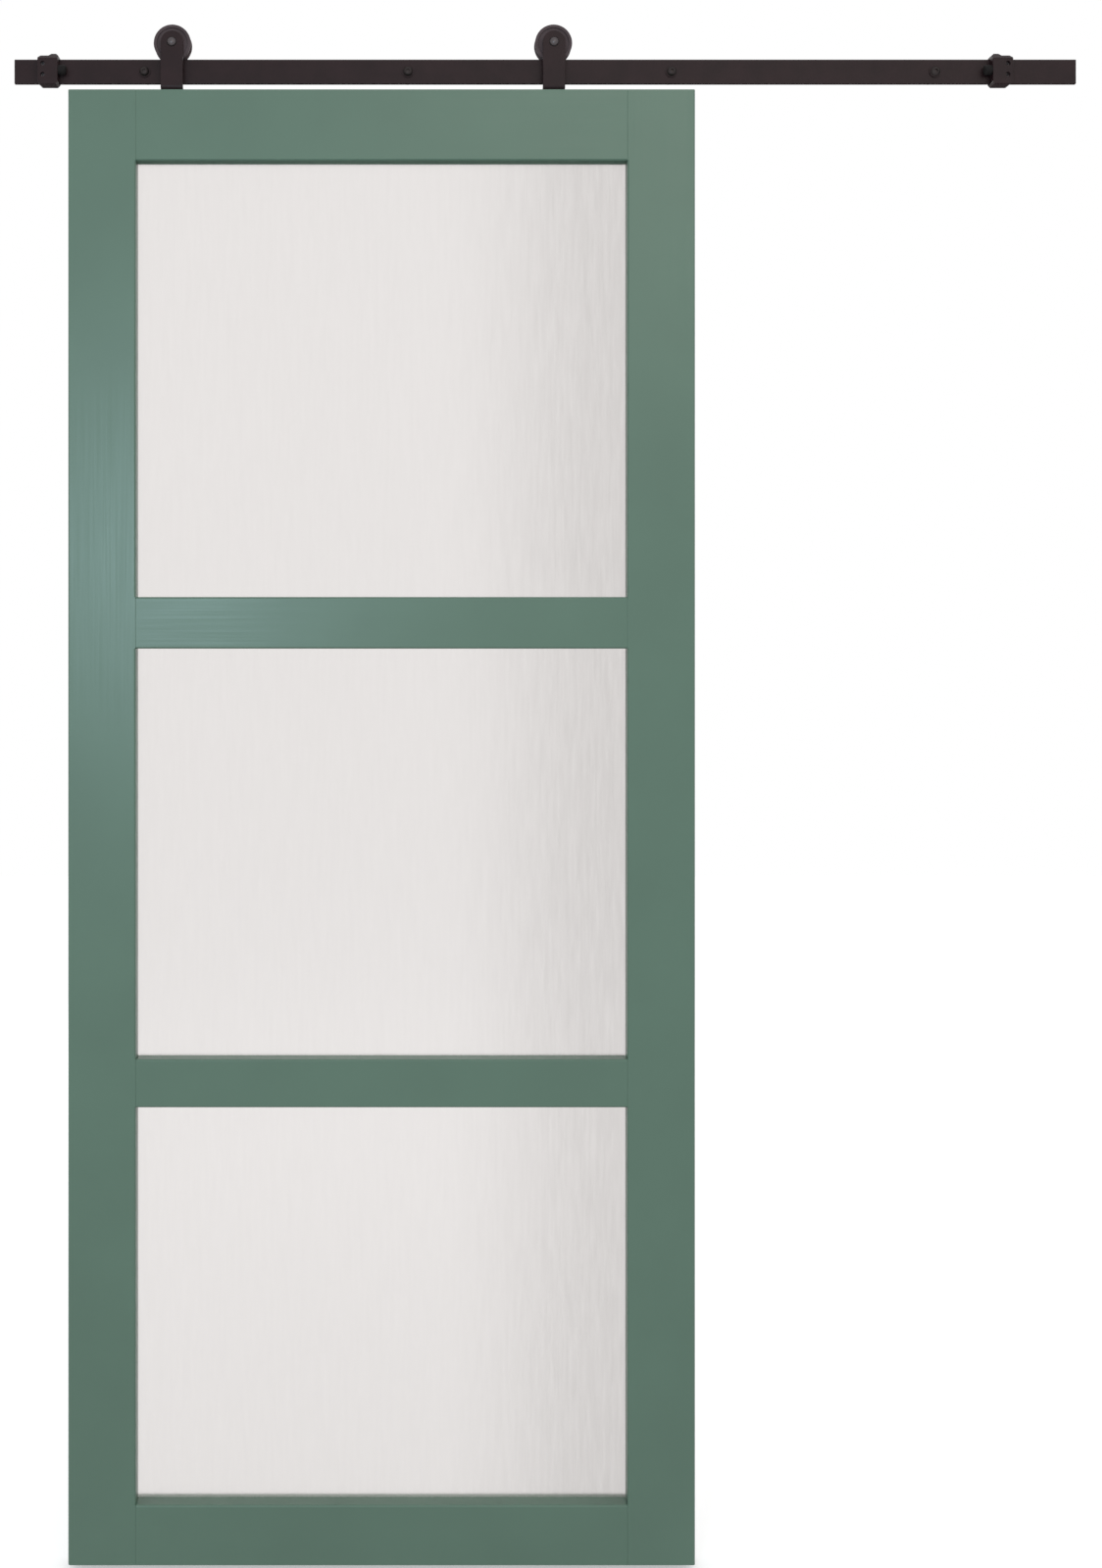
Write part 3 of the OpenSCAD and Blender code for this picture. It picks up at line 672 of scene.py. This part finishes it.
@dataclass
class Glazing:
    """Obscure panes with real upright relief, and the blocks that they stand on."""

    # Shares of the pane's width where its painted shade starts and where it is full.
    painted_shade_side: Span = (0.6, 0.98)
    column: float = 0.0013
    row: float = 0.016
    relief: float = 0.00035
    middle: float = 0.5
    broad_share: float = 0.42
    fine_share: float = 0.22
    wave: float = 0.0075
    wave_length: float = 0.09
    fine_rate: Span = (2.3, 1.7)
    fine_seed: float = 9.0
    drift: float = 0.4
    drift_size: Span = (0.05, 0.2)
    pane_seed: float = 17.0

    def depth(self, x: float, z: float, seed: float) -> float:
        """Finds how far the face of a pane lies behind its front plane at a point.

        Args:
            x: Place across the pane.
            z: Height.
            seed: Offset that makes each pane differ.

        Returns:
            A depth from 0 to the relief.
        """
        swing, swing_length = self.drift_size
        sway = self.drift * noise.noise(Vector((x / swing, z / swing_length, seed)))
        broad = noise.noise(Vector((x / self.wave + sway, z / self.wave_length, seed)))
        fine_x = self.fine_rate[0] * x / self.wave
        fine_z = self.fine_rate[1] * z / self.wave_length
        fine = noise.noise(Vector((fine_x, fine_z, seed + self.fine_seed)))
        share = self.middle + self.broad_share * broad + self.fine_share * fine
        return self.relief * min(1.0, max(0.0, share))

    def pane_mesh(self, name: str, low: Vector, high: Vector, seed: float) -> bpy.types.Mesh:
        """Builds one pane: relief in front, plain edges and back.

        Args:
            name: Name of the mesh.
            low: Lowest corner of the pane.
            high: Highest corner of the pane.
            seed: Offset of its relief.

        Returns:
            A closed mesh.
        """
        columns = round((high.x - low.x) / self.column)
        rows = round((high.z - low.z) / self.row)
        mesh = bmesh.new()
        grid = []
        for k in range(rows + 1):
            z = low.z + (high.z - low.z) * k / rows
            line = []
            for i in range(columns + 1):
                x = low.x + (high.x - low.x) * i / columns
                line.append(mesh.verts.new((x, low.y + self.depth(x, z, seed), z)))
            grid.append(line)
        for lower, upper in zip(grid, grid[1:]):
            for i in range(columns):
                mesh.faces.new((lower[i], lower[i + 1], upper[i + 1], upper[i]))
        foot = [mesh.verts.new((v.co.x, high.y, low.z)) for v in grid[0]]
        head = [mesh.verts.new((v.co.x, high.y, high.z)) for v in grid[-1]]
        for i in range(columns):
            mesh.faces.new((foot[i + 1], foot[i], head[i], head[i + 1]))
            mesh.faces.new((grid[0][i + 1], grid[0][i], foot[i], foot[i + 1]))
            mesh.faces.new((grid[-1][i], grid[-1][i + 1], head[i + 1], head[i]))
        mesh.faces.new([line[0] for line in grid] + [head[0], foot[0]])
        mesh.faces.new([line[-1] for line in reversed(grid)] + [foot[-1], head[-1]])
        return finished_mesh(mesh, name)

    def build(self) -> list[bpy.types.Object]:
        """Builds the panes and dresses the setting blocks.

        Returns:
            The three panes.
        """
        left, right = (corner.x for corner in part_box("glass_upper"))
        # The painted shade on the right side of the panes runs between these places.
        start, end = (left + share * (right - left) for share in self.painted_shade_side)
        glass = GlassFinish("obscure_glass", start, end).make()
        panes = []
        for index, pane in enumerate(Pane):
            name, node = f"pane_{pane.value}", f"glass_{pane.value}"
            low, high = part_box(node)
            mesh = self.pane_mesh(name, low, high, self.pane_seed * index)
            panes.append(place_piece(name, mesh, glass, "door", node))
        dress(("setting_blocks",), RubberFinish("block_rubber").make())
        return panes


@dataclass(frozen=True)
class ThreadedScrew:
    """A screw or bolt with a head, a rolled thread and, if wanted, a key socket and a point."""

    form: HeadForm
    head_d: float
    head_h: float
    shank_d: float
    thread_d: float
    plain: float
    pitch: float
    thread_depth: float
    point: float = 0.0
    key: float = 0.0
    key_depth: float = 0.0
    head_steps: int = 10
    turn_steps: int = 8
    segments: int = 48
    tip_share: float = 0.04

    def rise(self, r: float) -> float:
        """Returns the place of a domed head's surface along the axis at a radius."""
        cap = (self.head_d ** 2 / 4 + self.head_h ** 2) / (2 * self.head_h)
        return cap - self.head_h - math.sqrt(max(0.0, cap ** 2 - r ** 2))

    def add_head(self, loft: RingLoft) -> None:
        """Adds the head's rings, from the bottom of its socket to its shank.

        Args:
            loft: Loft whose axis runs from the seat of the head to the tip.
        """
        domed = self.form is HeadForm.DOMED
        crown = -self.head_h if domed else 0.0
        inner = self.tip_share * self.head_d
        if self.key:
            socket = Hexagon(self.key).radius
            inner = socket(0.0)
            loft.ring(crown + self.key_depth, socket)
            loft.ring(self.rise(inner) if domed else crown, socket)
        outer = self.head_d / 2
        if domed:
            for step in range(self.head_steps + 1):
                r = inner + (outer - inner) * math.sin(math.pi / 2 * step / self.head_steps)
                loft.ring(self.rise(r), r)
            loft.ring(0.0, self.shank_d / 2)
        else:
            loft.ring(crown, outer)
            loft.ring(self.head_h, self.shank_d / 2)

    def taper(self, to_tip: float) -> float:
        """Returns the share of the full radius at a distance from the tip."""
        return min(1.0, max(self.tip_share, to_tip / self.point)) if self.point else 1.0

    def thread_radius(self, along: float, taper: float, angle: float) -> float:
        """Finds the radius of the thread at a place on it.

        Args:
            along: Distance from the seat of the head.
            taper: Share of the full radius there.
            angle: Angle around the axis.

        Returns:
            The radius.
        """
        phase = (along / self.pitch - angle / math.tau) % 1.0
        crest = 1.0 - abs(2.0 * phase - 1.0)
        return taper * (self.thread_d / 2 - self.thread_depth * (1.0 - crest))

    def mesh(self, name: str, seat: Vector, axis: Vector, length: float) -> bpy.types.Mesh:
        """Builds the screw.

        Args:
            name: Name of the mesh.
            seat: Middle of the seat of its head, or of the top of a countersunk head.
            axis: Direction from the head to the tip.
            length: Distance from there to the tip.

        Returns:
            A closed mesh.
        """
        loft = RingLoft(seat, axis, self.segments)
        self.add_head(loft)
        loft.ring(self.plain, self.shank_d / 2)
        threaded = length - self.plain
        steps = round(threaded / self.pitch * self.turn_steps)
        for step in range(1, steps + 1):
            along = self.plain + threaded * step / steps
            taper = self.taper(length - along)
            loft.ring(along, partial(self.thread_radius, along, taper))
        return loft.finish(name)


@dataclass(frozen=True)
class HexNut:
    """A hexagonal nut with turned-off corners."""

    flats: float
    bore_d: float
    corner_drop: float = 0.0009
    segments: int = 72

    def mesh(self, name: str, seat: Vector, axis: Vector, height: float) -> bpy.types.Mesh:
        """Builds the nut.

        Args:
            name: Name of the mesh.
            seat: Middle of its seat.
            axis: Direction from the seat to its free end.
            height: Distance between these.

        Returns:
            A closed mesh.
        """
        hexagon = Hexagon(self.flats)
        half = self.flats / 2

        def drop(angle: float) -> float:
            """Returns how far the corners are turned off at an angle."""
            shoulder = (hexagon.radius(angle) - half) / (hexagon.radius(0.0) - half)
            return self.corner_drop * shoulder

        loft = RingLoft(seat, axis, self.segments)
        loft.ring(0.0, self.bore_d / 2)
        loft.ring(0.0, half)
        loft.ring(drop, hexagon.radius)
        loft.ring(lambda angle: height - drop(angle), hexagon.radius)
        loft.ring(height, half)
        loft.ring(height, self.bore_d / 2)
        return loft.finish(name, closed=True)


@dataclass
class Track:
    """Flat-bar track on its spacers, with threaded wall screws."""

    ease: EdgeEase = EdgeEase(0.0006)
    spacers: tuple[str, ...] = ("wall_spacer_1", "wall_spacer_2", "wall_spacer_3", "wall_spacer_4")
    screw: ThreadedScrew = ThreadedScrew(
        HeadForm.DOMED, head_d=0.014, head_h=0.0045, shank_d=0.007, thread_d=0.008, plain=0.0376,
        pitch=0.0034, thread_depth=0.0011, point=0.009, key=0.005, key_depth=0.0025)

    def build(self, coat: bpy.types.Material, screw_steel: bpy.types.Material) -> None:
        """Dresses the track and builds its screws.

        Args:
            coat: Powder coat of the track.
            screw_steel: Finish of the screws.
        """
        dress(("rail_track", *self.spacers), coat, self.ease)
        dress(("wall_washers",), coat)
        seat_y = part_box("wall_washers")[0].y
        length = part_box("wall_screws")[1].y - seat_y
        for index, spacer in enumerate(self.spacers, 1):
            low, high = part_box(spacer)
            seat = Vector(((low.x + high.x) / 2, seat_y, (low.z + high.z) / 2))
            name = f"wall_screw_{index}"
            mesh = self.screw.mesh(name, seat, BACKWARD, length)
            place_piece(name, mesh, screw_steel, "track", "wall_screws")


@dataclass
class Stops:
    """End stops of the track with their bumpers."""

    ease: EdgeEase = EdgeEase(0.0009, segments=3)

    def build(self, coat: bpy.types.Material, screw_steel: bpy.types.Material) -> None:
        """Dresses both stops.

        Args:
            coat: Powder coat of the bodies.
            screw_steel: Finish of the screws.
        """
        rubber = RubberFinish("bumper_rubber").make()
        for side in Side:
            dress((f"stop_{side.value}_body",), coat, self.ease)
            dress((f"stop_{side.value}_bumper",), rubber)
        dress(("stop_screws",), screw_steel)


@dataclass
class Hangers:
    """Strap hangers with their wheels, bearings, axles and screws."""

    ease: EdgeEase = EdgeEase(0.0008, segments=3)
    wheel_ease: EdgeEase = EdgeEase(0.0005)
    bearing_parts: tuple[str, ...] = ("inner_ring", "outer_ring", "balls", "cage")
    bright: SteelFinish = SteelFinish("turned_steel", (0.56, 0.56, 0.58), roughness=0.28)
    dull: PowderCoat = PowderCoat("wheel_coat", (0.094, 0.070, 0.074), roughness=0.55, gloss=0.07)
    foot_pitch: float = 0.016
    axle: ThreadedScrew = ThreadedScrew(
        HeadForm.DOMED, head_d=0.014, head_h=0.005, shank_d=0.008, thread_d=0.008, plain=0.029,
        pitch=0.00125, thread_depth=0.0006)
    nut: HexNut = HexNut(flats=0.013, bore_d=0.0082)
    foot_screw: ThreadedScrew = ThreadedScrew(
        HeadForm.COUNTERSUNK, head_d=0.01, head_h=0.0028, shank_d=0.005, thread_d=0.005,
        plain=0.012, pitch=0.0022, thread_depth=0.0008, point=0.007, key=0.003, key_depth=0.0018)

    def build_bolts(self, side: Side, steel: bpy.types.Material) -> None:
        """Builds the axle, its nut and the foot screws of a hanger.

        Args:
            side: Hand of the hanger.
            steel: Finish of the bolts.
        """
        hand = side.value
        low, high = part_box(f"hanger_{hand}_axle")
        seat = Vector(((low.x + high.x) / 2, low.y + self.axle.head_h, (low.z + high.z) / 2))
        name = f"axle_{hand}"
        mesh = self.axle.mesh(name, seat, BACKWARD, high.y - seat.y)
        place_piece(name, mesh, steel, "door", f"hanger_{hand}_axle")
        low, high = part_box("axle_nuts")
        nut_seat = Vector((seat.x, low.y, seat.z))
        name = f"axle_nut_{hand}"
        mesh = self.nut.mesh(name, nut_seat, BACKWARD, high.y - low.y)
        place_piece(name, mesh, steel, "door", "axle_nuts")
        low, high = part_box("foot_screws")
        for index, end in enumerate((-1.0, 1.0), 1):
            x = seat.x + end * self.foot_pitch / 2
            top = Vector((x, (low.y + high.y) / 2, high.z))
            name = f"foot_screw_{hand}_{index}"
            mesh = self.foot_screw.mesh(name, top, DOWNWARD, high.z - low.z)
            place_piece(name, mesh, steel, "door", "foot_screws")

    def build(self, coat: bpy.types.Material, steel: bpy.types.Material) -> None:
        """Dresses both hangers and builds their bolts.

        Args:
            coat: Powder coat of the brackets.
            steel: Finish of the bolts and nuts.
        """
        bright = self.bright.make()
        dull = self.dull.make()
        for side in Side:
            hand = side.value
            dress((f"hanger_{hand}_bracket",), coat, self.ease)
            dress((f"wheel_{hand}",), dull, self.wheel_ease)
            dress((f"hanger_{hand}_front_sleeve", f"hanger_{hand}_back_sleeve"), bright)
            dress((f"bearing_{hand}_{part}" for part in self.bearing_parts), bright)
            dress((f"circlip_{hand}",), bright)
            self.build_bolts(side, steel)
        dress(("axle_washers",), steel)


@dataclass(frozen=True)
class AreaLamp:
    """A soft rectangular lamp that the camera doesn't see."""

    name: str
    place: Triple
    aim: Triple
    size: Span
    power: float
    colour: Colour

    def build(self, spared: bpy.types.Collection) -> None:
        """Puts the lamp in the scene.

        Args:
            spared: Pieces that the lamp leaves to the white surroundings.
        """
        lamp = bpy.data.lights.new(self.name, "AREA")
        lamp.shape = "RECTANGLE"
        lamp.size, lamp.size_y = self.size
        lamp.energy = self.power
        lamp.color = self.colour
        obj = bpy.data.objects.new(self.name, lamp)
        bpy.context.scene.collection.objects.link(obj)
        obj.location = self.place
        ray = Vector(self.aim) - Vector(self.place)
        obj.rotation_euler = ray.to_track_quat("-Z", "Y").to_euler()
        obj.visible_camera = False
        obj.visible_transmission = False
        obj.light_linking.receiver_collection = spared
        LOG.info("lit %s", self.name)


@dataclass
class Studio:
    """Plain pale floor, white surroundings, soft lamps and the camera."""

    floor_gap: float = 0.012
    floor_half: float = 6.0
    floor_colour: Colour = (0.4, 0.4, 0.4)
    floor_roughness: float = 0.8
    floor_white: float = 0.6
    floor_glow: float = 1.45
    floor_seen: Colour = (0.88, 0.865, 0.85)
    floor_lift: Span = (0.32, 0.45)
    floor_reach: Span = (1.6, 4.6)
    fill_colour: Colour = (0.95, 0.97, 1.0)
    fill_strength: float = 0.74
    sensor: float = 36.0
    frame_px: Span = (1124.0, 1600.0)
    leaf_left_px: float = 69.35
    leaf_right_px: float = 709.1
    leaf_top_px: float = 91.1
    eye_px: Span = (400.0, 600.0)
    eye_distance: float = 2.5
    lamps: tuple[AreaLamp, ...] = (
        AreaLamp("window", place=(-0.93, -3.0, -0.64), aim=(-0.4, -0.05, -0.8), size=(0.5, 0.7),
                 power=17.0, colour=(0.64, 0.88, 1.0)),
        AreaLamp("key", place=(0.9, -3.2, 0.8), aim=(-0.1, -0.05, -0.7), size=(2.2, 1.6),
                 power=15.0, colour=(1.0, 0.95, 0.86)),
        AreaLamp("back", place=(-0.3, 3.2, -0.3), aim=(-0.2, 0.0, -0.9), size=(2.2, 2.0),
                 power=34.0, colour=(1.0, 0.98, 0.96)),
    )

    def white_ray(self, tree: bpy.types.NodeTree) -> Socket:
        """Adds a test for rays that should meet plain white.

        Args:
            tree: Node tree of the world or of a stage material.

        Returns:
            1 for camera, glossy and transmission rays, 0 for the rest.
        """
        path = tree.nodes.new("ShaderNodeLightPath")
        total = path.outputs["Is Camera Ray"]
        for kind in ("Is Glossy Ray", "Is Transmission Ray"):
            larger = tree.nodes.new("ShaderNodeMath")
            larger.operation = "MAXIMUM"
            tree.links.new(total, larger.inputs[0])
            tree.links.new(path.outputs[kind], larger.inputs[1])
            total = larger.outputs["Value"]
        return total

    def build_world(self) -> None:
        """Makes the surroundings white to look at and a soft fill to light with."""
        world = bpy.data.worlds.new("studio")
        bpy.context.scene.world = world
        world.use_nodes = True
        tree = world.node_tree
        fill = tree.nodes["Background"]
        fill.inputs["Color"].default_value = (*self.fill_colour, 1.0)
        fill.inputs["Strength"].default_value = self.fill_strength
        white = tree.nodes.new("ShaderNodeBackground")
        white.inputs["Color"].default_value = (1.0, 1.0, 1.0, 1.0)
        white.inputs["Strength"].default_value = 1.0
        mix = tree.nodes.new("ShaderNodeMixShader")
        tree.links.new(self.white_ray(tree), mix.inputs["Fac"])
        tree.links.new(fill.outputs["Background"], mix.inputs[1])
        tree.links.new(white.outputs["Background"], mix.inputs[2])
        tree.links.new(mix.outputs["Shader"], tree.nodes["World Output"].inputs["Surface"])

    def floor_material(self, centre: Triple) -> bpy.types.Material:
        """Makes the floor near white to look at, but for the door's shadow.

        Args:
            centre: Point of the floor under the middle of the door.

        Returns:
            The material.
        """
        shader = Shader("floor")
        shader.set(base_color=(*self.floor_colour, 1.0), roughness=self.floor_roughness)
        glow = shader.add("ShaderNodeEmission")
        glow.inputs["Strength"].default_value = self.floor_glow
        white = self.white_ray(shader.tree)
        share = shader.ramp(white, (0.0, 1.0), (0.0, self.floor_white))
        mirrored = shader.mixed(share, shader.bsdf.outputs["BSDF"], glow.outputs["Emission"])
        seen = shader.add("ShaderNodeBsdfDiffuse")
        seen.inputs["Color"].default_value = (*self.floor_seen, 1.0)
        lift = shader.add("ShaderNodeEmission")
        strength = shader.away(centre, self.floor_reach, self.floor_lift)
        shader.link(strength, lift.inputs["Strength"])
        shaded = shader.add("ShaderNodeAddShader")
        shader.link(seen.outputs["BSDF"], shaded.inputs[0])
        shader.link(lift.outputs["Emission"], shaded.inputs[1])
        camera = shader.add("ShaderNodeLightPath").outputs["Is Camera Ray"]
        surface = shader.mixed(camera, mirrored, shaded.outputs["Shader"])
        shader.link(surface, shader.tree.nodes["Material Output"].inputs["Surface"])
        return shader.material

    def build_floor(self) -> None:
        """Lays a pale floor just under the leaf."""
        low, high = CAD_BOX
        middle = (low + high) / 2
        mesh = bpy.data.meshes.new("floor")
        z = low.z - self.floor_gap
        reach = self.floor_half
        corners = ((-reach, -reach), (reach, -reach), (reach, reach), (-reach, reach))
        points = [(middle.x + x, middle.y + y, z) for x, y in corners]
        mesh.from_pydata(points, [], [(0, 1, 2, 3)])
        mesh.materials.append(self.floor_material((middle.x, middle.y, z)))
        floor = bpy.data.objects.new("floor", mesh)
        bpy.context.scene.collection.objects.link(floor)

    def build_lamps(self, panes: Iterable[bpy.types.Object]) -> None:
        """Hangs the soft lamps.

        Args:
            panes: Panes that show the white surroundings and no lamp.
        """
        spared = bpy.data.collections.new("spared_by_lamps")
        for pane in panes:
            spared.objects.link(pane)
        for member in spared.collection_objects:
            member.light_linking.link_state = "EXCLUDE"
        for lamp in self.lamps:
            lamp.build(spared)

    def build_camera(self) -> None:
        """Sets the camera square to the leaf, with its frame shifted as in the photograph."""
        left_low, left_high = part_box("stile_left")
        leaf_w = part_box("stile_right")[1].x - left_low.x
        pixel = leaf_w / (self.leaf_right_px - self.leaf_left_px)
        width, height = self.frame_px
        eye_x, eye_y = self.eye_px
        camera = bpy.data.cameras.new("camera")
        camera.sensor_width = self.sensor
        camera.lens = self.sensor * self.eye_distance / (height * pixel)
        camera.shift_x = (width / 2 - eye_x) / height
        camera.shift_y = (eye_y - height / 2) / height
        obj = bpy.data.objects.new("camera", camera)
        bpy.context.scene.collection.objects.link(obj)
        obj.location = (
            left_low.x + (eye_x - self.leaf_left_px) * pixel,
            left_low.y - self.eye_distance,
            left_high.z - (eye_y - self.leaf_top_px) * pixel,
        )
        obj.rotation_euler = (math.pi / 2, 0.0, 0.0)
        bpy.context.scene.camera = obj

    def build(self, panes: Iterable[bpy.types.Object]) -> None:
        """Builds the whole studio.

        Args:
            panes: Panes that the lamps spare.
        """
        bpy.context.scene.view_settings.view_transform = "Standard"
        self.build_camera()
        self.build_world()
        self.build_floor()
        self.build_lamps(panes)


def main() -> None:
    """Builds the studio and dresses the door, one sub-assembly after another."""
    logging.basicConfig(level=logging.INFO, format="%(name)s: %(message)s")
    coat = PowderCoat("powder_coat").make()
    screw_steel = SteelFinish("blackened_steel", (0.05, 0.042, 0.042), roughness=0.5).make()
    bolt_steel = SteelFinish("bolt_steel", (0.105, 0.094, 0.098), roughness=0.36).make()
    Leaf().build()
    panes = Glazing().build()
    Studio().build(panes)
    Track().build(coat, screw_steel)
    Stops().build(coat, bolt_steel)
    Hangers().build(coat, bolt_steel)


if __name__ == "__main__":
    main()
